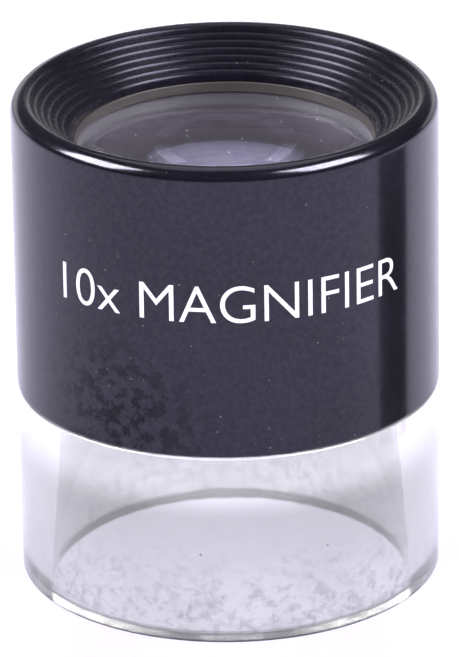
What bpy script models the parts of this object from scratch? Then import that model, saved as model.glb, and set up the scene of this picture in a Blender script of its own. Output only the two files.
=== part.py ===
"""Focusing ten-power stand loupe: a black barrel with two cemented lens pairs on a clear screw-in base.

The loupe stands on its clear base with the base's foot on the ground plane (+Z up). Every piece is
turned about the Z axis. The barrel, the lens cell and their rings turn together on the base's neck
thread, and the thread lifts them and the lenses to focus.
"""

import math

import bmesh
import bpy
from mathutils import Matrix

MM = 0.001
STEPS = 48                        # facets round every turned piece, and per turn of the focus thread
ARC_POINTS = 5                    # spans in one lens surface

# Overall sizes
OVERALL_HEIGHT = 49.5 * MM
BARREL_RADIUS = 21.0 * MM
SPLIT_HEIGHT = 19.7 * MM          # the base's shoulder, which the barrel screws down to

# Clearances
SEAT_GAP = 0.10 * MM              # between pieces that rest on each other
RADIAL_GAP = 0.10 * MM            # between a piece and the bore that holds it
FOCUS_GAP = 0.12 * MM             # radial, between the neck and the barrel that turns on it
FLANK_GAP = 0.15 * MM             # along the axis, between the two threads' flanks
SHOULDER_GAP = 0.15 * MM          # between the base's shoulder and the barrel's lower edge
CELL_TO_NECK_GAP = 0.40 * MM      # radial, between the lens cell and the neck round it
CEMENT_GAP = 0.06 * MM

# Barrel
BARREL_WALL = 2.48 * MM           # over the bore that turns on the neck
BARREL_CHAMFER = 0.25 * MM
RIM_FILLET = 0.7 * MM
RIM_FILLET_SPANS = 3
RIM_LAND = 1.43 * MM              # smooth top band, its rounded edge included
NECK_HEADROOM = 1.0 * MM          # above the neck when the barrel is screwed right down
EYECUP_DEPTH = 3.8 * MM
EYECUP_RIDGES = 7
RIDGE_RISE = 0.25 * MM            # how far each ridge's crest stands up from the cone
EYECUP_LIP = 0.45 * MM            # thickness of the barrel's lip over the lens cell
EYECUP_LIP_SETBACK = 0.12 * MM    # how far that lip stands back from the cell's opening

# Clear base
BASE_STEP = 0.12 * MM             # how much smaller than the barrel it is, in radius
BASE_CHAMFER = 0.28 * MM
FOOT_WALL = 3.28 * MM             # the bore narrows from the foot to the neck
NECK_WALL = 2.1 * MM
NECK_LENGTH = 10.0 * MM

# Focus thread, one start
THREAD_PITCH = 1.5 * MM
THREAD_DEPTH = 0.5 * MM
THREAD_CREST = 0.4 * MM
THREAD_FLANK_SLOPE = 0.5          # axial run of a flank for each unit of its depth
THREAD_RUNOUT = 2.3 * MM          # plain neck between the shoulder and the ridge's centre line
THREAD_TOP_MARGIN = 1.3 * MM      # plain neck above the ridge's centre line
THREAD_OVERLAP = 0.1 * MM         # how far a thread tool runs into or past the wall it meets
GROOVE_RUN_ON_TURNS = 0.25        # the groove goes on past the ridge's upper end

# Lens cell
CELL_WALL = 0.9 * MM
CELL_FLANGE_STEP = 1.0 * MM       # how far the flange stands out from the thin part
CELL_FOOT_MARGIN = 0.05 * MM      # below the retaining ring
LENS_LIP_WIDTH = 0.4 * MM
LENS_LIP_THICKNESS = 1.05 * MM
LENS_LIP_FLARE = 0.15 * MM

# Rings
LOCK_RING_HEIGHT = 1.8 * MM
LOCK_RING_INSET = 0.6 * MM        # above the lower end of the cell's seat in the barrel
RETAINING_RING_HEIGHT = 1.15 * MM
RETAINING_RING_WIDTH = 1.7 * MM
SPANNER_SLOT_WIDTH = 1.4 * MM
SPANNER_SLOT_DEPTH = 0.6 * MM
CUSHION_THICKNESS = 0.5 * MM
CUSHION_WIDTH = 1.4 * MM
SPACER_WALL = 0.9 * MM

# Lens pairs: a flat outer flint cemented to a biconvex crown, the two crowns facing each other
CROWN_RADIUS = 24.2 * MM          # the crown's free surface
CEMENT_RADIUS = 40.2 * MM
CROWN_EDGE = 1.0 * MM
FLINT_CENTRE = 1.3 * MM
CROWN_SPACING = 0.4 * MM          # air between the two crowns on the axis


def sagitta(curvature_radius, ring_radius):
    """Return how far a spherical surface falls away from its crown at ring_radius."""
    return curvature_radius - math.sqrt(curvature_radius ** 2 - ring_radius ** 2)


# Radii, from the barrel's outside in to the lenses
BARREL_BORE_RADIUS = BARREL_RADIUS - BARREL_WALL
NECK_RADIUS = BARREL_BORE_RADIUS - FOCUS_GAP
RIDGE_CREST_RADIUS = NECK_RADIUS + THREAD_DEPTH
NECK_BORE_RADIUS = NECK_RADIUS - NECK_WALL
BASE_RADIUS = BARREL_RADIUS - BASE_STEP
FOOT_BORE_RADIUS = BASE_RADIUS - FOOT_WALL
CELL_RADIUS = NECK_BORE_RADIUS - CELL_TO_NECK_GAP
CELL_FLANGE_RADIUS = CELL_RADIUS + CELL_FLANGE_STEP
CELL_SEAT_RADIUS = CELL_FLANGE_RADIUS + RADIAL_GAP
CELL_BORE_RADIUS = CELL_RADIUS - CELL_WALL
LENS_RADIUS = CELL_BORE_RADIUS - RADIAL_GAP
LENS_LIP_RADIUS = CELL_BORE_RADIUS - LENS_LIP_WIDTH
EYECUP_OUTER_RADIUS = BARREL_RADIUS - RIM_LAND
EYECUP_INNER_RADIUS = LENS_LIP_RADIUS + LENS_LIP_FLARE + EYECUP_LIP_SETBACK

# Heights, up the base and then down from the rim through the lenses
BARREL_FOOT_HEIGHT = SPLIT_HEIGHT + SHOULDER_GAP
RIDGE_START_HEIGHT = SPLIT_HEIGHT + THREAD_RUNOUT
NECK_TOP_HEIGHT = SPLIT_HEIGHT + NECK_LENGTH
CELL_SEAT_FOOT = NECK_TOP_HEIGHT + NECK_HEADROOM
LOCK_RING_FOOT = CELL_SEAT_FOOT + LOCK_RING_INSET
CELL_FLANGE_HEIGHT = LOCK_RING_FOOT + LOCK_RING_HEIGHT + SEAT_GAP
EYECUP_FLOOR_HEIGHT = OVERALL_HEIGHT - EYECUP_DEPTH
CELL_SEAT_TOP = EYECUP_FLOOR_HEIGHT - EYECUP_LIP
CELL_TOP_HEIGHT = CELL_SEAT_TOP - SEAT_GAP
LENS_LIP_HEIGHT = CELL_TOP_HEIGHT - LENS_LIP_THICKNESS
LENS_FACE_HEIGHT = LENS_LIP_HEIGHT - SEAT_GAP
FLINT_EDGE = FLINT_CENTRE + sagitta(CEMENT_RADIUS, LENS_RADIUS)
PAIR_LENGTH = FLINT_EDGE + CEMENT_GAP + CROWN_EDGE + sagitta(CROWN_RADIUS, LENS_RADIUS)
FIELD_FACE_HEIGHT = LENS_FACE_HEIGHT - 2 * PAIR_LENGTH - CROWN_SPACING
CUSHION_FOOT = FIELD_FACE_HEIGHT - SEAT_GAP - CUSHION_THICKNESS
RETAINING_RING_FOOT = CUSHION_FOOT - SEAT_GAP - RETAINING_RING_HEIGHT
CELL_FOOT_HEIGHT = RETAINING_RING_FOOT - CELL_FOOT_MARGIN

# Turns of the thread ridge and of the groove's tool before the ridge's start
THREAD_TURNS = (NECK_LENGTH - THREAD_RUNOUT - THREAD_TOP_MARGIN) / THREAD_PITCH
GROOVE_LEAD_IN_TURNS = math.ceil((THREAD_RUNOUT - SHOULDER_GAP) / THREAD_PITCH + 0.5)


def clear_scene():
    """Remove every object that the file opened with."""
    for leftover in list(bpy.data.objects):
        bpy.data.objects.remove(leftover, do_unlink=True)


def new_collection(name):
    """Make a collection under the scene's own."""
    collection = bpy.data.collections.new(name)
    bpy.context.scene.collection.children.link(collection)
    return collection


def new_material(name, colour, roughness, metallic=0.0, transmission=0.0, ior=1.5):
    """Make one Principled material."""
    material = bpy.data.materials.new(name)
    material.use_nodes = True
    shader = material.node_tree.nodes["Principled BSDF"]
    shader.inputs["Base Color"].default_value = (*colour, 1.0)
    shader.inputs["Roughness"].default_value = roughness
    shader.inputs["Metallic"].default_value = metallic
    shader.inputs["Transmission Weight"].default_value = transmission
    shader.inputs["IOR"].default_value = ior
    material.diffuse_color = (*colour, 1.0)
    return material


def new_object(name, mesh, collection):
    """Link a mesh object into a collection."""
    piece = bpy.data.objects.new(name, mesh)
    collection.objects.link(piece)
    return piece


def turned(name, outline, closed, collection):
    """Turn an outline of (radius, height) points about Z; it runs down its outer side."""
    edges = [(index, index + 1) for index in range(len(outline) - 1)]
    if closed:
        edges.append((len(outline) - 1, 0))
    mesh = bpy.data.meshes.new(name)
    mesh.from_pydata([(radius, 0.0, height) for radius, height in outline], edges, [])
    piece = new_object(name, mesh, collection)
    screw = piece.modifiers.new("turning", "SCREW")
    screw.axis = "Z"
    screw.angle = 2 * math.pi
    screw.steps = STEPS
    screw.render_steps = STEPS
    screw.use_merge_vertices = True
    screw.merge_threshold = 0.00001
    screw.use_smooth_shade = True
    return piece


def helix(name, section, start_height, turns, collection):
    """Sweep a closed (radius, height) section up a right-hand helix into a closed solid.

    Its corners lie half a facet round from the turned pieces' corners, so that no edges coincide.
    """
    mesh = bpy.data.meshes.new(name)
    shape = bmesh.new()
    corners = [shape.verts.new((radius, 0.0, start_height + height)) for radius, height in section]
    face = shape.faces.new(corners)
    steps = int(turns * STEPS)
    bmesh.ops.spin(
        shape,
        geom=[face, *face.edges, *corners],
        cent=(0.0, 0.0, 0.0),
        axis=(0.0, 0.0, 1.0),
        dvec=(0.0, 0.0, THREAD_PITCH / STEPS),
        angle=2 * math.pi * steps / STEPS,
        steps=steps,
    )
    half_facet = Matrix.Rotation(math.pi / STEPS, 3, "Z")
    bmesh.ops.rotate(shape, cent=(0.0, 0.0, 0.0), matrix=half_facet, verts=shape.verts[:])
    bmesh.ops.recalc_face_normals(shape, faces=shape.faces[:])
    shape.to_mesh(mesh)
    shape.free()
    return new_object(name, mesh, collection)


def box(name, size, collection):
    """Make a box of full size about its origin."""
    mesh = bpy.data.meshes.new(name)
    shape = bmesh.new()
    bmesh.ops.create_cube(shape, size=1.0)
    bmesh.ops.scale(shape, vec=size, verts=shape.verts[:])
    shape.to_mesh(mesh)
    shape.free()
    return new_object(name, mesh, collection)


def use_as_tool(piece, tool, operation):
    """Join or cut a piece with a tool that isn't itself part of the model."""
    tool.hide_render = True
    tool.display_type = "WIRE"
    boolean = piece.modifiers.new(tool.name, "BOOLEAN")
    boolean.operation = operation
    boolean.solver = "EXACT"
    boolean.object = tool


def finish(piece, material):
    """Apply the modifiers, give the material, and shade the round faces smooth."""
    graph = bpy.context.evaluated_depsgraph_get()
    mesh = bpy.data.meshes.new_from_object(piece.evaluated_get(graph))
    mesh.name = piece.name
    piece.modifiers.clear()
    piece.data = mesh
    mesh.materials.clear()
    mesh.materials.append(material)
    mesh.shade_smooth()
    mesh.set_sharp_from_angle(angle=math.radians(30))
    return piece


def arc(radius, count, centre, start_degrees, end_degrees):
    """Return points along an arc, both ends included."""
    points = []
    for index in range(count + 1):
        angle = math.radians(start_degrees + (end_degrees - start_degrees) * index / count)
        points.append((centre[0] + radius * math.cos(angle), centre[1] + radius * math.sin(angle)))
    return points


def lens_surface(curvature_radius, apex_height):
    """Return points of a surface that falls from its apex on the axis to the lens's edge."""
    points = []
    for index in range(ARC_POINTS + 1):
        ring_radius = LENS_RADIUS * index / ARC_POINTS
        points.append((ring_radius, apex_height - sagitta(curvature_radius, ring_radius)))
    return points


def thread_section(crest_radius, root_radius, margin):
    """Return a thread ridge's section, widened by a margin along the axis on each flank."""
    half_crest = THREAD_CREST / 2 + margin - (crest_radius - RIDGE_CREST_RADIUS) * THREAD_FLANK_SLOPE
    half_root = half_crest + (crest_radius - root_radius) * THREAD_FLANK_SLOPE
    return [
        (root_radius, -half_root),
        (crest_radius, -half_crest),
        (crest_radius, half_crest),
        (root_radius, half_root),
    ]


def make_clear_base(parts, tools):
    """Make the clear base: a shouldered tube whose neck carries the male focus thread."""
    outline = [
        (NECK_BORE_RADIUS, NECK_TOP_HEIGHT),
        (NECK_RADIUS - BASE_CHAMFER, NECK_TOP_HEIGHT),
        (NECK_RADIUS, NECK_TOP_HEIGHT - BASE_CHAMFER),
        (NECK_RADIUS, SPLIT_HEIGHT),
        (BASE_RADIUS - BASE_CHAMFER, SPLIT_HEIGHT),
        (BASE_RADIUS, SPLIT_HEIGHT - BASE_CHAMFER),
        (BASE_RADIUS, BASE_CHAMFER),
        (BASE_RADIUS - BASE_CHAMFER, 0.0),
        (FOOT_BORE_RADIUS, 0.0),
        (NECK_BORE_RADIUS, SPLIT_HEIGHT),
    ]
    base = turned("clear_base", outline, True, parts)
    section = thread_section(RIDGE_CREST_RADIUS, NECK_RADIUS - THREAD_OVERLAP, 0.0)
    ridge = helix("neck_thread_ridge", section, RIDGE_START_HEIGHT, THREAD_TURNS, tools)
    use_as_tool(base, ridge, "UNION")
    acrylic = new_material("clear_acrylic", (0.93, 0.93, 0.96), 0.04, transmission=1.0, ior=1.49)
    return finish(base, acrylic)


def eyecup_outline():
    """Return the ridged cone from the lens opening up to the rim, innermost point first."""
    ridge_width = (EYECUP_OUTER_RADIUS - EYECUP_INNER_RADIUS) / EYECUP_RIDGES
    ridge_drop = EYECUP_DEPTH / EYECUP_RIDGES
    points = []
    for ridge in range(EYECUP_RIDGES):
        valley_radius = EYECUP_INNER_RADIUS + ridge * ridge_width
        valley_height = EYECUP_FLOOR_HEIGHT + ridge * ridge_drop
        points.append((valley_radius, valley_height))
        points.append((valley_radius + ridge_width / 4, valley_height + ridge_drop / 2 + RIDGE_RISE))
    points.append((EYECUP_OUTER_RADIUS, OVERALL_HEIGHT))
    return points


def make_barrel(parts, tools):
    """Make the barrel: ridged eyecup, lens cell seat, and the female focus thread in its skirt."""
    fillet_centre = (BARREL_RADIUS - RIM_FILLET, OVERALL_HEIGHT - RIM_FILLET)
    outline = arc(RIM_FILLET, RIM_FILLET_SPANS, fillet_centre, 90, 0)
    outline += [
        (BARREL_RADIUS, BARREL_FOOT_HEIGHT + BARREL_CHAMFER),
        (BARREL_RADIUS - BARREL_CHAMFER, BARREL_FOOT_HEIGHT),
        (BARREL_BORE_RADIUS, BARREL_FOOT_HEIGHT),
        (BARREL_BORE_RADIUS, CELL_SEAT_FOOT),
        (CELL_SEAT_RADIUS, CELL_SEAT_FOOT),
        (CELL_SEAT_RADIUS, CELL_SEAT_TOP),
        (EYECUP_INNER_RADIUS, CELL_SEAT_TOP),
    ]
    outline += eyecup_outline()
    barrel = turned("barrel", outline, True, parts)
    crest_radius = RIDGE_CREST_RADIUS + FOCUS_GAP
    section = thread_section(crest_radius, BARREL_BORE_RADIUS - THREAD_OVERLAP, FLANK_GAP)
    groove_start = RIDGE_START_HEIGHT - GROOVE_LEAD_IN_TURNS * THREAD_PITCH
    groove_turns = GROOVE_LEAD_IN_TURNS + THREAD_TURNS + GROOVE_RUN_ON_TURNS
    groove = helix("barrel_thread_groove", section, groove_start, groove_turns, tools)
    use_as_tool(barrel, groove, "DIFFERENCE")
    return finish(barrel, new_material("black_plastic", (0.035, 0.032, 0.045), 0.25))


def make_lens_cell(parts, anodised):
    """Make the lens cell: a tube whose top lip holds the front glass and whose flange seats in the barrel."""
    outline = [
        (LENS_LIP_RADIUS + LENS_LIP_FLARE, CELL_TOP_HEIGHT),
        (CELL_FLANGE_RADIUS, CELL_TOP_HEIGHT),
        (CELL_FLANGE_RADIUS, CELL_FLANGE_HEIGHT),
        (CELL_RADIUS, CELL_FLANGE_HEIGHT),
        (CELL_RADIUS, CELL_FOOT_HEIGHT),
        (CELL_BORE_RADIUS, CELL_FOOT_HEIGHT),
        (CELL_BORE_RADIUS, LENS_LIP_HEIGHT),
        (LENS_LIP_RADIUS, LENS_LIP_HEIGHT),
    ]
    return finish(turned("lens_cell", outline, True, parts), anodised)


def plain_ring(name, inner_radius, outer_radius, foot_height, height, parts):
    """Turn a plain ring that stands on foot_height."""
    outline = [
        (inner_radius, height),
        (outer_radius, height),
        (outer_radius, 0.0),
        (inner_radius, 0.0),
    ]
    ring = turned(name, outline, True, parts)
    ring.location.z = foot_height
    return ring


def make_slotted_ring(name, inner_radius, outer_radius, foot_height, height, material, parts, tools):
    """Make a threaded ring with a spanner slot on each side of its lower face."""
    ring = plain_ring(name, inner_radius, outer_radius, foot_height, height, parts)
    size = (3 * outer_radius, SPANNER_SLOT_WIDTH, 2 * SPANNER_SLOT_DEPTH)
    slot = box(name + "_spanner_slot", size, tools)
    slot.location.z = foot_height
    use_as_tool(ring, slot, "DIFFERENCE")
    return finish(ring, material)


def make_lens_pair(place, face_height, upside_down, glasses, parts):
    """Make one cemented pair, its flat flint face at face_height and its crown behind it."""
    crown_glass, flint_glass = glasses
    cement = lens_surface(CEMENT_RADIUS, -FLINT_CENTRE)
    flint_outline = [(0.0, 0.0), (LENS_RADIUS, 0.0), *reversed(cement)]
    flint = turned(place + "_flint_lens", flint_outline, False, parts)
    crown_front = [(radius, height - CEMENT_GAP) for radius, height in cement]
    crown_back = [(radius, -height - PAIR_LENGTH) for radius, height in lens_surface(CROWN_RADIUS, 0.0)]
    crown = turned(place + "_crown_lens", [*crown_front, *reversed(crown_back)], False, parts)
    for lens, glass in ((flint, flint_glass), (crown, crown_glass)):
        lens.location.z = face_height
        if upside_down:
            lens.rotation_euler.x = math.pi
        finish(lens, glass)
    return [flint, crown]


def make_spacer(parts, anodised):
    """Make the tube that holds the two crowns apart, resting on their curved faces at its bore."""
    spacer_bore = LENS_RADIUS - SPACER_WALL
    rest_depth = PAIR_LENGTH - sagitta(CROWN_RADIUS, spacer_bore)
    top = LENS_FACE_HEIGHT - rest_depth - SEAT_GAP
    foot = FIELD_FACE_HEIGHT + rest_depth + SEAT_GAP
    spacer = plain_ring("lens_spacer", spacer_bore, LENS_RADIUS, foot, top - foot, parts)
    return finish(spacer, anodised)


def carry(empty_name, pieces, carrier, collection):
    """Hang pieces on an empty that stands on the turning axis."""
    empty = bpy.data.objects.new(empty_name, None)
    empty.empty_display_size = 5 * MM
    collection.objects.link(empty)
    empty.parent = carrier
    for piece in pieces:
        piece.parent = empty
    return empty


def build():
    """Build the loupe."""
    clear_scene()
    parts = new_collection("stand_loupe")
    tools = new_collection("tools")

    anodised = new_material("black_anodised_aluminium", (0.075, 0.068, 0.066), 0.5, metallic=0.6)
    cushion = new_material("cushion_rubber", (0.02, 0.02, 0.02), 0.8)
    crown_glass = new_material("crown_glass", (0.96, 0.96, 1.0), 0.0, transmission=1.0, ior=1.62)
    flint_glass = new_material("flint_glass", (0.94, 0.94, 1.0), 0.0, transmission=1.0, ior=1.72)

    make_clear_base(parts, tools)
    barrel = make_barrel(parts, tools)
    cell = make_lens_cell(parts, anodised)
    lock_ring = make_slotted_ring(
        "cell_lock_ring", CELL_RADIUS + RADIAL_GAP, CELL_FLANGE_RADIUS,
        LOCK_RING_FOOT, LOCK_RING_HEIGHT, anodised, parts, tools)
    retaining_ring = make_slotted_ring(
        "retaining_ring", LENS_RADIUS - RETAINING_RING_WIDTH, LENS_RADIUS,
        RETAINING_RING_FOOT, RETAINING_RING_HEIGHT, anodised, parts, tools)
    cushion_ring = plain_ring(
        "cushion_ring", LENS_RADIUS - CUSHION_WIDTH, LENS_RADIUS, CUSHION_FOOT, CUSHION_THICKNESS, parts)
    finish(cushion_ring, cushion)
    glasses = (crown_glass, flint_glass)
    lenses = make_lens_pair("eye", LENS_FACE_HEIGHT, False, glasses, parts)
    lenses += make_lens_pair("field", FIELD_FACE_HEIGHT, True, glasses, parts)
    spacer = make_spacer(parts, anodised)

    lift = carry("focus_lift_axis", [*lenses, spacer, cushion_ring], None, parts)
    carry("focus_turn_axis", [barrel, cell, lock_ring, retaining_ring], lift, parts)


build()
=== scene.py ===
"""Looks, light and camera for a ten-power stand loupe: a black ridged barrel on a clear screw-in base.

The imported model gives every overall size. Each piece but the ink is turned about the Z axis again, with
finer steps and rounded edges, and takes the place of its node. The ink is on the barrel's -Y side.
"""

import math

import bmesh
import bpy
from mathutils import Matrix, Vector


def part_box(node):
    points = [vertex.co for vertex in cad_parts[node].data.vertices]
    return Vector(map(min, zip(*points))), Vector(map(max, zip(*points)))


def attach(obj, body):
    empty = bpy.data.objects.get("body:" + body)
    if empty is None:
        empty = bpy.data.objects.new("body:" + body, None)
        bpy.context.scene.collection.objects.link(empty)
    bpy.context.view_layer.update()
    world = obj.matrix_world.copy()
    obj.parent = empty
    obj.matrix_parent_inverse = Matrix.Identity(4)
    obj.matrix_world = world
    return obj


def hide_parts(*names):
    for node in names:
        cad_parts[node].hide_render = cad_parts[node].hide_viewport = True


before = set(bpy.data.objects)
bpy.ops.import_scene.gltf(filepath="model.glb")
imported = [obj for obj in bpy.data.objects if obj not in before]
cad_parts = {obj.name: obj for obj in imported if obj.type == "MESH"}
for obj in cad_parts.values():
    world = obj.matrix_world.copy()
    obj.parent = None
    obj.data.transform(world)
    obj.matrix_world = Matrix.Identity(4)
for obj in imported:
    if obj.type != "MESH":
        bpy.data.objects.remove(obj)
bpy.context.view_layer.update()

MM = 0.001

# How finely the pieces are turned
TURNING_STEPS = 192
THREAD_STEPS = 96                 # per turn of the focus thread
ROUNDING_STEP = math.radians(18)  # the most that one span of a rounded edge turns
SHARP_ANGLE = math.radians(35)
WELD_DISTANCE = 0.0005 * MM
LENS_SPANS = 24                   # spans from the axis to the edge of a lens surface

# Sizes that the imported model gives
base_low, base_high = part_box("clear_base")
barrel_low, barrel_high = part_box("barrel")
cell_low, cell_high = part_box("lens_cell")
lock_low, lock_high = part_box("cell_lock_ring")
retainer_low, retainer_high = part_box("retaining_ring")
cushion_low, cushion_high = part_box("cushion_ring")
spacer_low, spacer_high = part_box("lens_spacer")
_, eye_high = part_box("eye_flint_lens")
field_low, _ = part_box("field_flint_lens")

# Barrel
BARREL_RADIUS = barrel_high.x
RIM_HEIGHT = barrel_high.z
BARREL_FOOT = barrel_low.z
BARREL_WALL = 2.48 * MM
BARREL_BORE = BARREL_RADIUS - BARREL_WALL
RIM_ROUNDING = 1.3 * MM
RIM_CROWN = 0.17 * MM             # rise of the well rounded rim over a plain flat one
BARREL_FOOT_ROUNDING = 0.22 * MM
RIM_LAND = 1.43 * MM              # smooth top band outside the ridges
EYECUP_DEPTH = 3.8 * MM
EYECUP_RIDGES = 7
RIDGE_RISE = 0.25 * MM            # how far each ridge's crest stands up from the cone
RIDGE_ROUNDING = 0.48 * MM
EYECUP_LIP = 0.45 * MM            # thickness of the barrel's lip over the lens cell
EYECUP_EDGE = BARREL_RADIUS - RIM_LAND

# Clear base
BASE_RADIUS = base_high.x
NECK_TOP = base_high.z
SPLIT_GAP = 0.15 * MM             # between the barrel's foot and the base's shoulder
NECK_CLEARANCE = 0.12 * MM
NECK_WALL = 2.1 * MM
FOOT_WALL = 3.28 * MM
SPLIT_HEIGHT = BARREL_FOOT - SPLIT_GAP
NECK_RADIUS = BARREL_BORE - NECK_CLEARANCE
NECK_BORE = NECK_RADIUS - NECK_WALL
FOOT_BORE = BASE_RADIUS - FOOT_WALL
BASE_ROUNDING = 0.22 * MM

# Focus thread
THREAD_PITCH = 1.5 * MM
THREAD_DEPTH = 0.5 * MM
THREAD_CREST = 0.4 * MM
THREAD_FLANK_SLOPE = 0.5          # axial run of a flank for each unit of its depth
THREAD_CLEARANCE = 0.12 * MM      # radial, at the crest
FLANK_CLEARANCE = 0.15 * MM       # along the axis
THREAD_OVERLAP = 0.1 * MM         # how far a thread's shape runs into or past the wall it meets
THREAD_RISE = 2.3 * MM            # from the base's shoulder up to the middle of the ridge's start
THREAD_START = SPLIT_HEIGHT + THREAD_RISE
THREAD_TURNS = 4.25
GROOVE_LEAD_IN_TURNS = 2          # whole turns by which the groove starts below the ridge
GROOVE_TURNS = 6.5

# Lens cell and its rings
CELL_RADIUS = 15.9 * MM
CELL_WALL = 0.9 * MM
CELL_CLEARANCE = 0.1 * MM
CELL_SEAT_RISE = 1.0 * MM         # from the neck's top up to the step of the barrel's seat
LENS_LIP_REACH = 0.4 * MM
CELL_BORE = CELL_RADIUS - CELL_WALL
CELL_FLANGE_RADIUS = cell_high.x
CELL_FLANGE_FOOT = lock_high.z + CELL_CLEARANCE
CELL_SEAT_RADIUS = CELL_FLANGE_RADIUS + CELL_CLEARANCE
CELL_SEAT_FOOT = NECK_TOP + CELL_SEAT_RISE
LENS_LIP_RADIUS = CELL_BORE - LENS_LIP_REACH
LENS_LIP_FLARE = 0.15 * MM        # how much further out the lip's edge is at its top
LENS_LIP_THICKNESS = 1.05 * MM
EYECUP_LIP_SETBACK = 0.12 * MM    # the ridged cone's opening outside the lens cell's own
EYECUP_OPENING = LENS_LIP_RADIUS + LENS_LIP_FLARE + EYECUP_LIP_SETBACK
RETAINER_WIDTH = 1.7 * MM
CUSHION_WIDTH = 1.4 * MM
SPACER_WALL = 0.9 * MM
LOCK_RING_BORE = CELL_RADIUS + CELL_CLEARANCE
RETAINER_BORE = retainer_high.x - RETAINER_WIDTH
CUSHION_BORE = cushion_high.x - CUSHION_WIDTH
SPACER_BORE = spacer_high.x - SPACER_WALL
SPANNER_SLOT_WIDTH = 1.4 * MM
SPANNER_SLOT_DEPTH = 0.6 * MM
EDGE_ROUNDING = 0.1 * MM
CUSHION_ROUNDING = 0.2 * MM

# Lens pairs, each a flat flint cemented to a biconvex crown
LENS_RADIUS = eye_high.x
CROWN_CURVE = 24.2 * MM
CEMENT_CURVE = 40.2 * MM
FLINT_CENTRE = 1.3 * MM
LENS_CHAMFER = 0.12 * MM
CEMENT_LINE = 0.12 * MM           # height of the seam that shows on the ground edge
# Spacing of the painted rings in the lens glass, which stand in for refracted images of the surroundings
PAINTED_RING_SPACING = 2.2 * MM
EYE_GLASS_CLEARNESS = 0.965
FIELD_GLASS_CLEARNESS = 0.52      # the inner pair is the dusty one

# Printed marking
MARKING = "10x MAGNIFIER"
LETTER_SIZE = 5.6 * MM
LETTER_THINNING = 0.05 * MM
MARKING_HEIGHT = 34.0 * MM        # the letters' foot line
INK_THICKNESS = 0.03 * MM
INK_SINK = 0.01 * MM              # how far the ink reaches into the barrel
STRIP_WIDTH = 0.4 * MM            # letters are cut into strips this wide to follow the barrel

# Smudged patch low on the barrel's left
SMUDGE_CENTRE = (-11 * MM, -18 * MM, 23 * MM)
SMUDGE_REACH = 13 * MM

# Tint of the clear base, from the foot up: painted shade, darker low down for the shaded floor under the
# barrel seen through the acrylic
SHADE_TINT_HEIGHTS = (2 * MM, 12 * MM)      # the painted shade deepens between these
CLEAR_TINT_HEIGHTS = (13 * MM, 15.5 * MM)  # and clear between these

# Floor
FLOOR_REACH = 2.0                 # metres from the loupe to each edge of the sheet
FLOOR_GAP = 0.02 * MM             # between the sheet and the foot

# Camera
CAMERA_ELEVATION = math.radians(22.90)
CAMERA_DISTANCE = 0.681           # metres
CAMERA_ROLL = math.radians(-0.844)
CAMERA_TARGET = Vector((0.0, 0.0, 0.025))
CAMERA_RIGHT_SHIFT = 0.18 * MM
CAMERA_UP_SHIFT = -0.38 * MM
CAMERA_LENS = 376.0               # focal length in millimetres
FULL_FRAME_WIDTH = 36.0           # millimetres

# Light
WORLD_STRENGTH = 0.10
LIGHT_COLOUR = (0.97, 0.96, 1.0)
LIGHT_DISTANCE = 0.5              # metres from the loupe
SOFTBOXES = {                     # turn from the front and height in degrees, width, length, power in watts
    "left_softbox": (-80.0, 38.0, 0.30, 0.28, 8.0),
    "right_softbox": (64.0, 42.0, 0.30, 0.28, 8.0),
    "top_softbox": (180.0, 68.0, 0.30, 0.40, 0.5),
    "low_backdrop": (180.0, 9.0, 1.4, 0.15, 0.7),
}
FILL_LIGHTS = 6
FILL_HEIGHT = 38.0                # degrees above the horizon
FILL_SIZE = (0.3, 0.15)
FILL_POWER = 1.2                  # watts each

# Dark card that lies on the floor to the right and shows only as a band in the barrel's gloss
CARD_NEAR = 40 * MM               # along the floor from the barrel
CARD_FAR = 140 * MM
CARD_TURNS = (45.0, 57.0)         # degrees round the barrel where its band shows
CARD_LIFT = 0.5 * MM              # above the foot's own height


# ---- turning and cutting -----------------------------------------------------------------------------


def softened(corners):
    """Turn each (radius, height, rounding) corner of a closed outline into a point or a rounded arc."""
    points = []
    for index, (radius, height, rounding) in enumerate(corners):
        corner = Vector((radius, height))
        if not rounding:
            points.append((radius, height))
            continue
        before = Vector(corners[index - 1][:2]) - corner
        after = Vector(corners[(index + 1) % len(corners)][:2]) - corner
        half_angle = before.angle(after) / 2
        run = rounding / math.tan(half_angle)
        middle = (before.normalized() + after.normalized()).normalized()
        centre = corner + middle * rounding / math.sin(half_angle)
        first = corner + before.normalized() * run - centre
        last = corner + after.normalized() * run - centre
        first_angle = math.atan2(first.y, first.x)
        turn = math.remainder(math.atan2(last.y, last.x) - first_angle, 2 * math.pi)
        spans = max(2, math.ceil(abs(turn) / ROUNDING_STEP))
        for span in range(spans + 1):
            angle = first_angle + turn * span / spans
            points.append((centre.x + rounding * math.cos(angle), centre.y + rounding * math.sin(angle)))
    return points


def turned(outline, closed=True):
    """Turn an outline of (radius, height) points full circle about Z into a closed shell."""
    shape = bmesh.new()
    corners = [shape.verts.new((radius, 0.0, height)) for radius, height in outline]
    edges = [shape.edges.new(pair) for pair in zip(corners, corners[1:])]
    if closed:
        edges.append(shape.edges.new((corners[-1], corners[0])))
    bmesh.ops.spin(
        shape, geom=corners + edges, cent=(0, 0, 0), axis=(0, 0, 1), dvec=(0, 0, 0),
        angle=2 * math.pi, steps=TURNING_STEPS, use_merge=True)
    bmesh.ops.remove_doubles(shape, verts=shape.verts[:], dist=WELD_DISTANCE)
    bmesh.ops.recalc_face_normals(shape, faces=shape.faces[:])
    return shape


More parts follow.
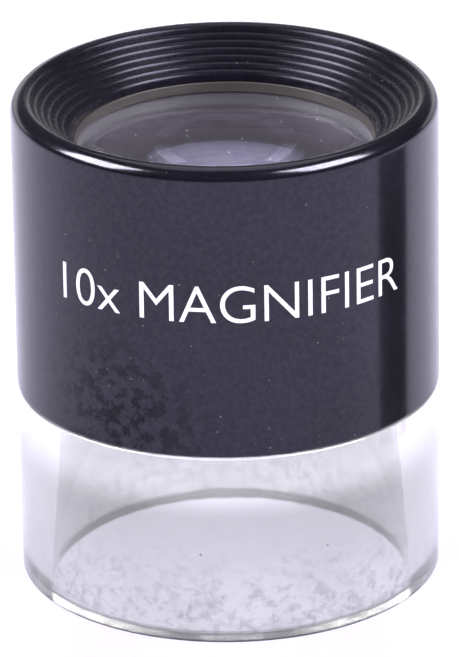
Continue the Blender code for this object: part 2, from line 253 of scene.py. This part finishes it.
def thread(crest_radius, root_radius, clearance, start_height, turns):
    """Sweep a thread ridge's section up a right-hand helix into a closed shape."""
    full_crest = NECK_RADIUS + THREAD_DEPTH
    half_crest = THREAD_CREST / 2 + clearance - (crest_radius - full_crest) * THREAD_FLANK_SLOPE
    half_root = half_crest + (crest_radius - root_radius) * THREAD_FLANK_SLOPE
    shape = bmesh.new()
    corners = [
        shape.verts.new((root_radius, 0.0, start_height - half_root)),
        shape.verts.new((crest_radius, 0.0, start_height - half_crest)),
        shape.verts.new((crest_radius, 0.0, start_height + half_crest)),
        shape.verts.new((root_radius, 0.0, start_height + half_root)),
    ]
    face = shape.faces.new(corners)
    steps = int(turns * THREAD_STEPS)
    bmesh.ops.spin(
        shape, geom=[face, *face.edges, *corners], cent=(0, 0, 0), axis=(0, 0, 1),
        dvec=(0, 0, THREAD_PITCH / THREAD_STEPS), angle=2 * math.pi * turns, steps=steps)
    # A quarter of a step round, so that its corners don't lie on those of the wall that it joins or cuts
    quarter_step = Matrix.Rotation(math.pi / THREAD_STEPS / 2, 3, "Z")
    bmesh.ops.rotate(shape, cent=(0, 0, 0), matrix=quarter_step, verts=shape.verts[:])
    bmesh.ops.recalc_face_normals(shape, faces=shape.faces[:])
    return shape


def in_scene(name, data):
    """Make an object that holds a mesh, text, light or camera, and put it in the scene."""
    made = bpy.data.objects.new(name, data)
    bpy.context.scene.collection.objects.link(made)
    return made


def mesh_object(name, shape, *materials):
    """Make an object of a shape, which is used up."""
    mesh = bpy.data.meshes.new(name)
    shape.to_mesh(mesh)
    shape.free()
    for material in materials:
        mesh.materials.append(material)
    return in_scene(name, mesh)


def combined(shape, cutter, operation):
    """Join a cutter's shape to a shape, or cut it away, and return the result."""
    body = mesh_object("cutting", shape)
    other = mesh_object("cutting", cutter)
    cut = body.modifiers.new("cut", "BOOLEAN")
    cut.operation = operation
    cut.solver = "EXACT"
    cut.object = other
    result = bmesh.new()
    result.from_object(body, bpy.context.evaluated_depsgraph_get())
    bpy.data.objects.remove(body)
    bpy.data.objects.remove(other)
    return result


def spanner_slots(ring, outer_radius, foot_height):
    """Cut a spanner slot into each side of a ring's lower face."""
    bar = bmesh.new()
    bmesh.ops.create_cube(bar, size=1.0)
    size = (3 * outer_radius, SPANNER_SLOT_WIDTH, 2 * SPANNER_SLOT_DEPTH)
    bmesh.ops.scale(bar, vec=size, verts=bar.verts[:])
    bmesh.ops.translate(bar, vec=(0.0, 0.0, foot_height), verts=bar.verts[:])
    return combined(ring, bar, "DIFFERENCE")


def finished(name, shape, materials, body, slot, *nodes):
    """Make a piece of a shape that rides on a body and stands for the named nodes."""
    piece = mesh_object(name, shape, *materials)
    piece.data.shade_smooth()
    piece.data.set_sharp_from_angle(angle=SHARP_ANGLE)
    weighting = piece.modifiers.new("flat faces stay flat", "WEIGHTED_NORMAL")
    weighting.keep_sharp = True
    weighting.weight = 100
    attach(piece, body)
    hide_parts(*nodes)
    return piece


# ---- materials ---------------------------------------------------------------------------------------


def new_material(name):
    """Make a material and return it with its node tree, its shader and its object coordinates."""
    material = bpy.data.materials.new(name)
    material.use_nodes = True
    tree = material.node_tree
    shader = tree.nodes["Principled BSDF"]
    place = tree.nodes.new("ShaderNodeTexCoord").outputs["Object"]
    return material, tree, shader, place


def node(tree, kind, sockets, **settings):
    """Add a node; a socket given another node's output is linked to it, and any other value is set."""
    made = tree.nodes.new(kind)
    for setting, value in settings.items():
        setattr(made, setting, value)
    for socket, value in sockets.items():
        if isinstance(value, bpy.types.NodeSocket):
            tree.links.new(value, made.inputs[socket])
        else:
            made.inputs[socket].default_value = value
    return made


def noise(tree, place, feature, detail=3.0, roughness=0.55):
    """Soft noise whose features are about one feature length across."""
    sockets = {"Vector": place, "Scale": 1.0 / feature, "Detail": detail, "Roughness": roughness}
    return node(tree, "ShaderNodeTexNoise", sockets).outputs["Fac"]


def between(tree, value, low, high, low_result=0.0, high_result=1.0):
    """Map a value that runs from low to high onto low_result to high_result, and hold it there outside."""
    sockets = {
        "Value": value, "From Min": low, "From Max": high, "To Min": low_result, "To Max": high_result}
    return node(tree, "ShaderNodeMapRange", sockets, interpolation_type="SMOOTHSTEP").outputs["Result"]


def product(tree, first, second):
    """Multiply two values."""
    return node(tree, "ShaderNodeMath", {0: first, 1: second}, operation="MULTIPLY").outputs[0]


def painted(tree, factor, under, over):
    """Lay the colour over on the colour under by a factor."""
    sockets = {0: factor}
    for socket, colour in ((6, under), (7, over)):
        plain = isinstance(colour, tuple)
        sockets[socket] = (*colour, 1.0) if plain else colour
    return node(tree, "ShaderNodeMix", sockets, data_type="RGBA").outputs[2]


def specks(tree, place, spacing, size, share):
    """Small round specks: the surface is cut into cells a spacing across, and a share of them holds one."""
    cells = node(tree, "ShaderNodeTexVoronoi", {"Vector": place, "Scale": 1.0 / spacing})
    near = between(tree, cells.outputs["Distance"], size / spacing * 0.6, size / spacing, 1.0, 0.0)
    chance = node(tree, "ShaderNodeSeparateColor", {"Color": cells.outputs["Color"]}).outputs["Red"]
    chosen = node(tree, "ShaderNodeMath", {0: chance, 1: share}, operation="LESS_THAN").outputs[0]
    return product(tree, near, chosen)


def near_to(tree, place, centre, radius):
    """1 at a centre, falling to 0 at a radius from it."""
    apart = node(tree, "ShaderNodeVectorMath", {0: place, 1: centre}, operation="DISTANCE").outputs["Value"]
    return between(tree, apart, 0.0, radius, 1.0, 0.0)


def from_axis(tree, place):
    """The distance from the loupe's axis."""
    flat = node(tree, "ShaderNodeVectorMath", {0: place, 1: (1.0, 1.0, 0.0)}, operation="MULTIPLY")
    return node(tree, "ShaderNodeVectorMath", {0: flat.outputs[0]}, operation="LENGTH").outputs["Value"]


def height_of(tree, place):
    """The height above the foot."""
    return node(tree, "ShaderNodeSeparateXYZ", {"Vector": place}).outputs["Z"]


def turning_marks(tree, place, spacing):
    """Fine rings left by a lathe: noise over the distance from the axis and the height alone."""
    rings = node(tree, "ShaderNodeCombineXYZ", {"X": from_axis(tree, place), "Z": height_of(tree, place)})
    return noise(tree, rings.outputs[0], spacing, detail=2.0)


def bumped(tree, shader, height, depth):
    """Give a shader's surface relief of a depth from a height pattern."""
    bump = node(tree, "ShaderNodeBump", {"Height": height, "Distance": depth, "Strength": 1.0})
    tree.links.new(bump.outputs["Normal"], shader.inputs["Normal"])


def black_moulded_plastic():
    """Glossy black plastic with a violet haze, a smudged patch and a little dust, duller in the eyecup."""
    material, tree, shader, place = new_material("black_moulded_plastic")
    haze = noise(tree, place, feature=14 * MM)
    mottle = noise(tree, place, feature=1.3 * MM, detail=6.0, roughness=0.7)
    grain = noise(tree, place, feature=0.5 * MM, detail=3.0)
    smudge_area = near_to(tree, place, SMUDGE_CENTRE, SMUDGE_REACH)
    smudge = product(tree, smudge_area, between(tree, mottle, 0.48, 0.56))
    dust = specks(tree, place, spacing=1.2 * MM, size=0.08 * MM, share=0.4)
    past_edge = EYECUP_EDGE + 0.1 * MM
    in_eyecup = between(tree, from_axis(tree, place), EYECUP_EDGE, past_edge, 1.0, 0.0)
    violet_black = (0.0045, 0.0038, 0.0075)
    hazy_black = (0.0075, 0.0063, 0.0125)
    smudge_black = (0.004, 0.004, 0.005)
    dust_grey = (0.35, 0.34, 0.36)
    colour = painted(tree, between(tree, haze, 0.35, 0.65), violet_black, hazy_black)
    colour = painted(tree, product(tree, smudge, 0.7), colour, smudge_black)
    colour = painted(tree, product(tree, dust, 0.7), colour, dust_grey)
    tree.links.new(colour, shader.inputs["Base Color"])
    low_sheen = (0.66, 0.64, 0.79)
    high_sheen = (0.90, 0.87, 1.0)
    smudge_sheen = (0.15, 0.15, 0.16)
    eyecup_sheen = (0.14, 0.13, 0.18)
    sheen = painted(tree, between(tree, grain, 0.3, 0.7), low_sheen, high_sheen)
    sheen = painted(tree, product(tree, smudge, 0.8), sheen, smudge_sheen)
    sheen = painted(tree, product(tree, in_eyecup, 0.82), sheen, eyecup_sheen)
    tree.links.new(sheen, shader.inputs["Specular Tint"])
    polish = between(tree, mottle, 0.35, 0.65, 0.13, 0.18)
    duller = {0: in_eyecup, 1: 0.12, 2: polish}
    roughness = node(tree, "ShaderNodeMath", duller, operation="MULTIPLY_ADD").outputs[0]
    tree.links.new(roughness, shader.inputs["Roughness"])
    shader.inputs["IOR"].default_value = 1.5
    bumped(tree, shader, grain, depth=0.003 * MM)
    return material


def black_anodised_metal():
    """Semi-matt brownish black anodised aluminium with fine turning marks and a little dust."""
    material, tree, shader, place = new_material("black_anodised_metal")
    marks = turning_marks(tree, place, spacing=0.12 * MM)
    patches = noise(tree, place, feature=5 * MM)
    brown_black = (0.020, 0.014, 0.013)
    worn_black = (0.032, 0.024, 0.023)
    dust_grey = (0.4, 0.4, 0.4)
    colour = painted(tree, between(tree, patches, 0.3, 0.7), brown_black, worn_black)
    dust = specks(tree, place, spacing=1.2 * MM, size=0.07 * MM, share=0.25)
    colour = painted(tree, product(tree, dust, 0.6), colour, dust_grey)
    tree.links.new(colour, shader.inputs["Base Color"])
    tree.links.new(between(tree, marks, 0.3, 0.7, 0.42, 0.58), shader.inputs["Roughness"])
    bumped(tree, shader, marks, depth=0.006 * MM)
    return material


def clear_moulded_acrylic():
    """Clear acrylic, darker low down as painted shade of the floor under the barrel, with smudges, dirt
    specks and a painted shade line on the foot's outer bottom edge.
    """
    material, tree, shader, place = new_material("clear_moulded_acrylic")
    shader.inputs["Transmission Weight"].default_value = 0.9
    shader.inputs["IOR"].default_value = 1.49
    waves = noise(tree, place, feature=6 * MM, detail=2.0)
    wipes = noise(tree, place, feature=1.2 * MM, detail=6.0, roughness=0.7)
    height = height_of(tree, place)
    low_down = between(tree, height, 3 * MM, 11 * MM, 1.0, 0.1)
    smudge = product(tree, low_down, between(tree, wipes, 0.50, 0.62))
    # Painted shade: a dark line along the foot's outer bottom edge, where it meets the floor
    outside = (BASE_RADIUS - 0.6 * MM, BASE_RADIUS - 0.3 * MM)
    contact_shade = between(tree, from_axis(tree, place), *outside, 0.6, 0.97)
    foot_edge_shade = product(tree, between(tree, height, 0.2 * MM, 0.4 * MM, 1.0, 0.0), contact_shade)
    dirt = specks(tree, place, spacing=3 * MM, size=0.14 * MM, share=0.35)
    foot_shade_tint = (0.65, 0.655, 0.62)
    foot_shade_tint_in_waves = (0.71, 0.715, 0.68)
    deep_shade_tint = (0.57, 0.575, 0.54)
    clear_tint = (0.98, 0.985, 0.94)
    smudge_tint = (0.32, 0.31, 0.34)
    contact_shade_black = (0.02, 0.017, 0.025)
    dirt_black = (0.02, 0.02, 0.02)
    # The darker tints low down are painted shade: they stand in for the shaded floor under the barrel, seen
    # through the foot
    colour = painted(tree, between(tree, waves, 0.3, 0.7), foot_shade_tint, foot_shade_tint_in_waves)
    colour = painted(tree, between(tree, height, *SHADE_TINT_HEIGHTS), colour, deep_shade_tint)
    colour = painted(tree, between(tree, height, *CLEAR_TINT_HEIGHTS), colour, clear_tint)
    colour = painted(tree, product(tree, smudge, 0.6), colour, smudge_tint)
    colour = painted(tree, foot_edge_shade, colour, contact_shade_black)
    colour = painted(tree, dirt, colour, dirt_black)
    tree.links.new(colour, shader.inputs["Base Color"])
    tree.links.new(between(tree, smudge, 0.0, 1.0, 0.05, 0.18), shader.inputs["Roughness"])
    bumped(tree, shader, waves, depth=0.02 * MM)
    return material


def coated_glass(name, clearness):
    """Lens glass with a violet coating, a thin uneven film, specks of dust and faint painted concentric
    rings that stand in for refracted images of the surroundings.
    """
    material, tree, shader, place = new_material(name)
    shader.inputs["Transmission Weight"].default_value = clearness
    shader.inputs["IOR"].default_value = 1.66
    shader.inputs["Specular Tint"].default_value = (0.06, 0.05, 0.09, 1.0)
    film = noise(tree, place, feature=0.9 * MM, detail=5.0, roughness=0.7)
    dust = specks(tree, place, spacing=1.3 * MM, size=0.09 * MM, share=0.4)
    turn = product(tree, from_axis(tree, place), math.tau / PAINTED_RING_SPACING)
    rings = node(tree, "ShaderNodeMath", {0: turn}, operation="SINE").outputs[0]
    violet = (0.56, 0.54, 0.64)
    filmed_violet = (0.62, 0.60, 0.70)
    painted_ring_violet = (0.36, 0.34, 0.42)
    dust_white = (0.95, 0.95, 1.0)
    colour = painted(tree, between(tree, film, 0.35, 0.65), violet, filmed_violet)
    # The rings are painted reflection: they stand in for the refracted images of the base's foot and the
    # studio seen through the glass
    colour = painted(tree, between(tree, rings, 0.4, 1.0, 0.0, 0.15), colour, painted_ring_violet)
    colour = painted(tree, dust, colour, dust_white)
    tree.links.new(colour, shader.inputs["Base Color"])
    tree.links.new(between(tree, dust, 0.0, 1.0, 0.03, 0.7), shader.inputs["Roughness"])
    return material


def ground_lens_edge(seam_height):
    """The ground, blackened edge of a cemented pair, with the cement's darker seam at seam_height."""
    material, tree, shader, place = new_material("ground_lens_edge")
    grit = noise(tree, place, feature=0.25 * MM, detail=3.0)
    above_seam = {0: height_of(tree, place), 1: seam_height}
    above_seam = node(tree, "ShaderNodeMath", above_seam, operation="SUBTRACT").outputs[0]
    from_seam = node(tree, "ShaderNodeMath", {0: above_seam}, operation="ABSOLUTE").outputs[0]
    seam = between(tree, from_seam, CEMENT_LINE / 2, CEMENT_LINE, 1.0, 0.0)
    ground_black = (0.018, 0.016, 0.021)
    ground_grey = (0.036, 0.033, 0.041)
    seam_black = (0.003, 0.003, 0.003)
    colour = painted(tree, grit, ground_black, ground_grey)
    colour = painted(tree, seam, colour, seam_black)
    tree.links.new(colour, shader.inputs["Base Color"])
    tree.links.new(between(tree, grit, 0.3, 0.7, 0.55, 0.8), shader.inputs["Roughness"])
    bumped(tree, shader, grit, depth=0.01 * MM)
    return material


def cushion_rubber():
    """Soft matt black rubber."""
    material, tree, shader, place = new_material("cushion_rubber")
    grain = noise(tree, place, feature=0.2 * MM, detail=4.0)
    rubber_black = (0.012, 0.012, 0.012)
    rubber_grey = (0.030, 0.030, 0.030)
    tree.links.new(painted(tree, grain, rubber_black, rubber_grey), shader.inputs["Base Color"])
    tree.links.new(between(tree, grain, 0.3, 0.7, 0.7, 0.9), shader.inputs["Roughness"])
    bumped(tree, shader, grain, depth=0.01 * MM)
    return material


def white_ink():
    """White screen-printed ink, a little uneven and worn thin in places."""
    material, tree, shader, place = new_material("white_ink")
    wear = noise(tree, place, feature=0.6 * MM, detail=5.0, roughness=0.65)
    fresh_white = (0.92, 0.92, 0.95)
    worn_white = (0.55, 0.54, 0.60)
    colour = painted(tree, between(tree, wear, 0.55, 0.75), fresh_white, worn_white)
    tree.links.new(colour, shader.inputs["Base Color"])
    tree.links.new(between(tree, wear, 0.3, 0.7, 0.35, 0.5), shader.inputs["Roughness"])
    bumped(tree, shader, wear, depth=0.004 * MM)
    return material


def floor_paper():
    """Plain white paper with a faint lavender cast."""
    material, tree, shader, place = new_material("floor_paper")
    fibres = noise(tree, place, feature=1.5 * MM, detail=4.0)
    paper_white = (0.80, 0.78, 0.93)
    fibre_white = (0.82, 0.80, 0.95)
    tree.links.new(painted(tree, fibres, paper_white, fibre_white), shader.inputs["Base Color"])
    shader.inputs["Roughness"].default_value = 0.9
    shader.inputs["Specular IOR Level"].default_value = 0.0
    return material


def dark_card_black():
    """Plain black for the dark card."""
    material, _, shader, _ = new_material("dark_card")
    shader.inputs["Base Color"].default_value = (0.01, 0.01, 0.01, 1.0)
    return material


# ---- pieces ------------------------------------------------------------------------------------------


def make_clear_base(acrylic):
    """The clear base: a shouldered tube whose bore narrows upwards, with the focus thread on its neck."""
    outline = softened([
        (NECK_BORE, NECK_TOP, EDGE_ROUNDING),
        (NECK_RADIUS, NECK_TOP, BASE_ROUNDING),
        (NECK_RADIUS, SPLIT_HEIGHT, 0.0),
        (BASE_RADIUS, SPLIT_HEIGHT, BASE_ROUNDING),
        (BASE_RADIUS, 0.0, BASE_ROUNDING),
        (FOOT_BORE, 0.0, EDGE_ROUNDING),
        (NECK_BORE, SPLIT_HEIGHT, 0.0),
    ])
    crest = NECK_RADIUS + THREAD_DEPTH
    ridge = thread(crest, NECK_RADIUS - THREAD_OVERLAP, 0.0, THREAD_START, THREAD_TURNS)
    shape = combined(turned(outline), ridge, "UNION")
    tube = finished("clear_base_tube", shape, [acrylic], "base", "clear_acrylic", "clear_base")
    # It throws no shadow or bright patches, so that the floor inside the foot stays evenly lit
    tube.visible_shadow = False
    tube.visible_diffuse = False
    return tube


def eyecup_corners():
    """The ridged cone's corners, from the lens opening up to the rim."""
    ridge_width = (EYECUP_EDGE - EYECUP_OPENING) / EYECUP_RIDGES
    ridge_drop = EYECUP_DEPTH / EYECUP_RIDGES
    corners = []
    for ridge in range(EYECUP_RIDGES):
        radius = EYECUP_OPENING + ridge * ridge_width
        height = RIM_HEIGHT - EYECUP_DEPTH + ridge * ridge_drop
        corners.append((radius, height, 0.0))
        corners.append((radius + ridge_width / 4, height + ridge_drop / 2 + RIDGE_RISE, RIDGE_ROUNDING))
    corners.append((EYECUP_EDGE, RIM_HEIGHT + RIM_CROWN, 0.0))
    return corners


def make_barrel(plastic):
    """The barrel: ridged eyecup, lens cell seat, and the female focus thread in its skirt."""
    lip_foot = RIM_HEIGHT - EYECUP_DEPTH - EYECUP_LIP
    outline = softened([
        (BARREL_RADIUS, RIM_HEIGHT + RIM_CROWN, RIM_ROUNDING),
        (BARREL_RADIUS, BARREL_FOOT, BARREL_FOOT_ROUNDING),
        (BARREL_BORE, BARREL_FOOT, 0.0),
        (BARREL_BORE, CELL_SEAT_FOOT, 0.0),
        (CELL_SEAT_RADIUS, CELL_SEAT_FOOT, 0.0),
        (CELL_SEAT_RADIUS, lip_foot, 0.0),
        (EYECUP_OPENING, lip_foot, 0.0),
        *eyecup_corners(),
    ])
    crest = NECK_RADIUS + THREAD_DEPTH + THREAD_CLEARANCE
    start = THREAD_START - GROOVE_LEAD_IN_TURNS * THREAD_PITCH
    groove = thread(crest, BARREL_BORE - THREAD_OVERLAP, FLANK_CLEARANCE, start, GROOVE_TURNS)
    shape = combined(turned(outline), groove, "DIFFERENCE")
    return finished("ridged_barrel", shape, [plastic], "housing", "black_plastic", "barrel")


def make_lens_cell(metal):
    """The lens cell: a tube whose top lip holds the front glass and whose flange seats in the barrel."""
    lip_foot = cell_high.z - LENS_LIP_THICKNESS
    outline = softened([
        (LENS_LIP_RADIUS + LENS_LIP_FLARE, cell_high.z, EDGE_ROUNDING),
        (CELL_FLANGE_RADIUS, cell_high.z, EDGE_ROUNDING),
        (CELL_FLANGE_RADIUS, CELL_FLANGE_FOOT, EDGE_ROUNDING),
        (CELL_RADIUS, CELL_FLANGE_FOOT, 0.0),
        (CELL_RADIUS, cell_low.z, EDGE_ROUNDING),
        (CELL_BORE, cell_low.z, EDGE_ROUNDING),
        (CELL_BORE, lip_foot, 0.0),
        (LENS_LIP_RADIUS, lip_foot, EDGE_ROUNDING),
    ])
    return finished("lens_cell_tube", turned(outline), [metal], "housing", "black_anodised", "lens_cell")


def ring_shape(bore, low, high, rounding):
    """A plain ring with rounded edges that fills the box from low to high outside its bore."""
    return turned(softened([
        (bore, high.z, rounding),
        (high.x, high.z, rounding),
        (high.x, low.z, rounding),
        (bore, low.z, rounding),
    ]))


def make_rings(metal, rubber):
    """The two slotted rings, the spacer and the cushion."""
    lock = ring_shape(LOCK_RING_BORE, lock_low, lock_high, EDGE_ROUNDING)
    lock = spanner_slots(lock, lock_high.x, lock_low.z)
    finished("slotted_lock_ring", lock, [metal], "housing", "black_anodised", "cell_lock_ring")
    retainer = ring_shape(RETAINER_BORE, retainer_low, retainer_high, EDGE_ROUNDING)
    retainer = spanner_slots(retainer, retainer_high.x, retainer_low.z)
    finished("slotted_retainer", retainer, [metal], "housing", "black_anodised", "retaining_ring")
    spacer = ring_shape(SPACER_BORE, spacer_low, spacer_high, EDGE_ROUNDING)
    finished("spacer_tube", spacer, [metal], "optics", "black_anodised", "lens_spacer")
    cushion = ring_shape(CUSHION_BORE, cushion_low, cushion_high, CUSHION_ROUNDING)
    finished("cushion_washer", cushion, [rubber], "optics", "cushion_rubber", "cushion_ring")


def fall(curve, radius):
    """How far a spherical surface falls away from its crown at a radius."""
    return curve - math.sqrt(curve ** 2 - radius ** 2)


def make_lens_pair(name, glass, face_height, dome_height, nodes):
    """One cemented pair as a single body of glass: flat face, ground edge and one domed face."""
    to_dome = math.copysign(1, dome_height - face_height)
    edge_height = dome_height - to_dome * fall(CROWN_CURVE, LENS_RADIUS)
    outline = [
        (0.0, face_height),
        (LENS_RADIUS - LENS_CHAMFER, face_height),
        (LENS_RADIUS, face_height + to_dome * LENS_CHAMFER),
        (LENS_RADIUS, edge_height - to_dome * LENS_CHAMFER),
    ]
    for span in range(LENS_SPANS + 1):
        radius = (LENS_RADIUS - LENS_CHAMFER) * (1 - span / LENS_SPANS)
        outline.append((radius, dome_height - to_dome * fall(CROWN_CURVE, radius)))
    shape = turned(outline, closed=False)
    for face in shape.faces:
        middle = face.calc_center_median()
        on_edge = math.hypot(middle.x, middle.y) > LENS_RADIUS - LENS_CHAMFER
        face.material_index = 1 if on_edge else 0
    seam_height = face_height + to_dome * (FLINT_CENTRE + fall(CEMENT_CURVE, LENS_RADIUS))
    pair = finished(name, shape, [glass, ground_lens_edge(seam_height)], "optics", "crown_glass", *nodes)
    # It throws no shadow, so that light reaches what lies under the glass
    pair.visible_shadow = False
    return pair


def make_lenses():
    """The eye pair under the lens lip and the field pair above the retaining ring."""
    eye_dome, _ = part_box("eye_crown_lens")
    nodes = ("eye_flint_lens", "eye_crown_lens")
    glass = coated_glass("clean_coated_glass", EYE_GLASS_CLEARNESS)
    make_lens_pair("eye_lens_pair", glass, eye_high.z, eye_dome.z, nodes)
    _, field_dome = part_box("field_crown_lens")
    nodes = ("field_flint_lens", "field_crown_lens")
    glass = coated_glass("dusty_coated_glass", FIELD_GLASS_CLEARNESS)
    make_lens_pair("field_lens_pair", glass, field_low.z, field_dome.z, nodes)


def flat_letters():
    """The marking as flat letters of ink, lying in the XY plane and centred on X."""
    text = bpy.data.curves.new("marking", "FONT")
    text.body = MARKING
    text.size = LETTER_SIZE
    text.offset = -LETTER_THINNING
    text.align_x = "CENTER"
    text.extrude = INK_THICKNESS / 2
    holder = in_scene("marking", text)
    graph = bpy.context.evaluated_depsgraph_get()
    flat = bpy.data.meshes.new_from_object(holder.evaluated_get(graph))
    bpy.data.objects.remove(holder)
    letters = bmesh.new()
    letters.from_mesh(flat)
    bpy.data.meshes.remove(flat)
    bmesh.ops.remove_doubles(letters, verts=letters.verts[:], dist=WELD_DISTANCE)
    return letters


def make_marking(ink):
    """The printed marking: plain letters cut into strips and wrapped onto the barrel's front."""
    letters = flat_letters()
    half_width = max(vert.co.x for vert in letters.verts)
    strips = math.ceil(2 * half_width / STRIP_WIDTH)
    for strip in range(1, strips):
        cut_at = (2 * strip / strips - 1) * half_width
        bmesh.ops.bisect_plane(
            letters, geom=[*letters.verts, *letters.edges, *letters.faces],
            plane_co=(cut_at, 0.0, 0.0), plane_no=(1.0, 0.0, 0.0), dist=WELD_DISTANCE)
    for vert in letters.verts:
        angle = vert.co.x / BARREL_RADIUS
        radius = BARREL_RADIUS - INK_SINK + INK_THICKNESS / 2 + vert.co.z
        vert.co = Vector((radius * math.sin(angle), -radius * math.cos(angle), MARKING_HEIGHT + vert.co.y))
    bmesh.ops.recalc_face_normals(letters, faces=letters.faces[:])
    piece = mesh_object("printed_marking", letters, ink)
    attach(piece, "housing")
    return piece


# ---- floor, light and camera -------------------------------------------------------------------------


def make_floor():
    """A wide sheet of white paper just under the foot."""
    shape = bmesh.new()
    bmesh.ops.create_grid(shape, x_segments=1, y_segments=1, size=FLOOR_REACH)
    bmesh.ops.translate(shape, vec=(0.0, 0.0, base_low.z - FLOOR_GAP), verts=shape.verts[:])
    floor = mesh_object("floor", shape, floor_paper())


def direction(turn, height):
    """The way to a point seen at a turn from the front and a height above the horizon, in degrees."""
    turn = math.radians(turn)
    height = math.radians(height)
    flat = math.cos(height)
    return Vector((math.sin(turn) * flat, -math.cos(turn) * flat, math.sin(height)))


def make_soft_light(name, turn, height, size, power):
    """A rectangular soft light that faces the middle of the loupe."""
    light = bpy.data.lights.new(name, "AREA")
    light.shape = "RECTANGLE"
    light.size, light.size_y = size
    light.energy = power
    light.color = LIGHT_COLOUR
    holder = in_scene(name, light)
    way = direction(turn, height)
    holder.matrix_world = (-way).to_track_quat("-Z", "Y").to_matrix().to_4x4()
    holder.location = CAMERA_TARGET + way * LIGHT_DISTANCE
    holder.visible_camera = False
    return holder


def make_dark_card():
    """A dark card beside the loupe whose only effect is a dark upright band in the barrel's gloss."""
    shape = bmesh.new()
    lift = Vector((0.0, 0.0, CARD_LIFT))
    corners = []
    for turn, reaches in zip(CARD_TURNS, ((CARD_NEAR, CARD_FAR), (CARD_FAR, CARD_NEAR))):
        start = direction(turn, 0.0) * BARREL_RADIUS
        mirrored_way = direction(2 * turn, 0.0)
        for reach in reaches:
            corners.append(shape.verts.new(start + mirrored_way * reach + lift))
    shape.faces.new(corners)
    card = mesh_object("dark_card", shape, dark_card_black())
    card.visible_camera = False
    card.visible_diffuse = False
    card.visible_transmission = False
    card.visible_shadow = False


def make_light():
    """A dim surround, a ring of fill lights, and softboxes that only show in the gloss."""
    world = bpy.data.worlds.new("pale surround")
    bpy.context.scene.world = world
    world.use_nodes = True
    background = world.node_tree.nodes["Background"]
    background.inputs["Color"].default_value = (*LIGHT_COLOUR, 1.0)
    background.inputs["Strength"].default_value = WORLD_STRENGTH
    for name, (turn, height, width, length, power) in SOFTBOXES.items():
        softbox = make_soft_light(name, turn, height, (width, length), power)
        softbox.visible_diffuse = False
        softbox.visible_transmission = False
    for count in range(FILL_LIGHTS):
        turn = 360.0 * count / FILL_LIGHTS
        fill = make_soft_light("fill_light", turn, FILL_HEIGHT, FILL_SIZE, FILL_POWER)
        fill.visible_glossy = False


def make_camera():
    """The camera, above and in front of the marking, turned slightly about its own axis."""
    camera = bpy.data.cameras.new("camera")
    camera.sensor_width = FULL_FRAME_WIDTH
    camera.lens = CAMERA_LENS
    holder = in_scene("camera", camera)
    bpy.context.scene.camera = holder
    away = Vector((0.0, -math.cos(CAMERA_ELEVATION), math.sin(CAMERA_ELEVATION)))
    position = CAMERA_TARGET + away * CAMERA_DISTANCE
    right = Vector((1.0, 0.0, 0.0))
    up = away.cross(right)
    rolled_up = up * math.cos(CAMERA_ROLL) - right * math.sin(CAMERA_ROLL)
    target = CAMERA_TARGET + right * CAMERA_RIGHT_SHIFT + up * CAMERA_UP_SHIFT
    back = (position - target).normalized()
    top = (rolled_up - back * rolled_up.dot(back)).normalized()
    side = top.cross(back)
    placed = Matrix((side, top, back)).transposed().to_4x4()
    placed.translation = position
    holder.matrix_world = placed


make_camera()
make_light()
make_floor()
make_dark_card()
metal = black_anodised_metal()
make_clear_base(clear_moulded_acrylic())
make_barrel(black_moulded_plastic())
make_lens_cell(metal)
make_rings(metal, cushion_rubber())
make_lenses()
make_marking(white_ink())
bpy.context.scene.view_settings.view_transform = "Standard"
